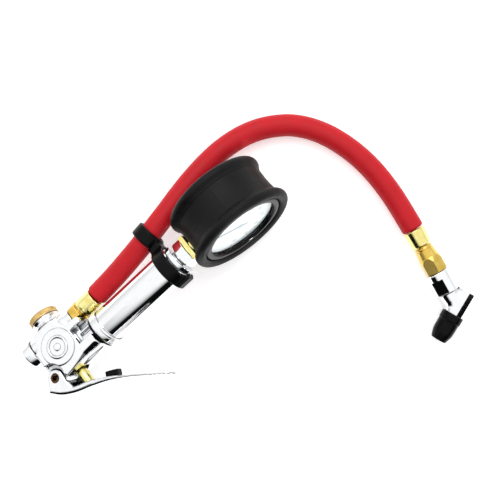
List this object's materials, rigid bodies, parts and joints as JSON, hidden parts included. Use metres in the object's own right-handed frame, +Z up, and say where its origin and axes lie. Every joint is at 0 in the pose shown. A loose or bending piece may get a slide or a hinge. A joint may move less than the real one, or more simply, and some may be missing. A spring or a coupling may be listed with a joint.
{
  "type": "tyre inflator with gauge",
  "caption": "Squeeze-lever tyre inflator: chromed valve body and barrel, dial gauge in a rubber boot, and a short red hose clipped alongside that ends in an angled push-on chuck.",
  "frame": {"origin": "bottom centre of the box round the rigid tool, without the hose and chuck, on the surface it lies on", "axes": "+X along the barrel as seen from above, from the valve body to the gauge; +Z up, out of the surface; the lever and the dial face the -Y side"},
  "size_m": [0.2795, 0.2153, 0.0807],
  "materials": {
    "chrome": "bright plated",
    "brass": "machined",
    "steel": "plain",
    "black_rubber": "matte moulded",
    "black_plastic": "satin moulded",
    "red_rubber": "smooth extruded",
    "dial_enamel": "matte printed",
    "clear_lens": "clear"
  },
  "bodies": {
    "inflator": {"valve_body": "chrome", "inlet_bushing": "brass", "inlet_screen": "steel", "rear_cap": "chrome", "rear_cap_seal": "black_rubber", "plunger_gland": "brass", "spool_spring": "steel", "lever_pin": "steel", "barrel_tube": "chrome", "barrel_collar": "chrome", "barrel_seal": "black_rubber", "barrel_end_cap": "chrome", "hose_clip": "black_plastic", "gauge_nut": "chrome", "gauge_stem": "brass", "gauge_case": "steel", "gauge_boot": "black_rubber", "bezel": "black_plastic", "gauge_lens": "clear_lens", "dial_plate": "dial_enamel", "movement_plate_back": "brass", "movement_plate_front": "brass", "hairspring": "brass", "bourdon_tube": "brass", "bourdon_socket": "brass", "bourdon_tip": "brass", "movement_link": "brass", "hose_nut": "brass", "hose_ferrule": "brass", "whip_hose": "red_rubber", "end_ferrule": "brass", "hose_coupling": "brass", "chuck_body": "chrome", "chuck_nose": "black_rubber", "chuck_seal": "black_rubber", "chuck_spring": "steel"},
    "lever": {"trigger_lever": "chrome", "lever_bumper": "black_rubber"},
    "plunger": {"trigger_plunger": "brass", "valve_spool": "brass", "spool_seal_lower": "black_rubber", "spool_seal_upper": "black_rubber"},
    "sector": {"sector_gear": "brass"},
    "pointer": {"pointer": "black_plastic", "pinion_shaft": "brass"},
    "chuck_pin": {"chuck_pin": "brass"}
  },
  "joints": [
    {"name": "lever_pivot", "type": "hinge", "parent": "inflator", "child": "lever", "pos_m": [-0.09598, 0.00235, 0.02305], "axis": [-0.1067, 0.2907, 0.9509], "range_deg": [0, 17], "stiffness_Nm_per_rad": 1.5, "springref_deg": -5.73},
    {"name": "plunger_slide", "type": "slide", "parent": "inflator", "child": "plunger", "axis": [0.0324, 0.9568, -0.2889], "range_m": [0, 0.0052], "deforming": ["spool_spring"]},
    {"name": "sector_pivot", "type": "hinge", "parent": "inflator", "child": "sector", "pos_m": [0.05619, 0.00312, 0.03989], "axis": [-0.0324, -0.9568, 0.2889], "range_deg": [0, 45], "stiffness_Nm_per_rad": 0.01, "springref_deg": -2.86},
    {"name": "pointer_spin", "type": "hinge", "parent": "inflator", "child": "pointer", "pos_m": [0.0708, 0.00312, 0.04153], "axis": [-0.0324, -0.9568, 0.2889], "range_deg": [-270, 0]},
    {"name": "chuck_pin_slide", "type": "slide", "parent": "inflator", "child": "chuck_pin", "axis": [0.9537, 0.3007, 0], "range_m": [0, 0.002], "stiffness_N_per_m": 150, "springref_m": -0.002, "deforming": ["chuck_spring"]}
  ],
  "couplings": [
    {"joint": "plunger_slide", "follows": "lever_pivot", "m_per_rad": 0.0175},
    {"joint": "pointer_spin", "follows": "sector_pivot", "ratio": -6}
  ]
}
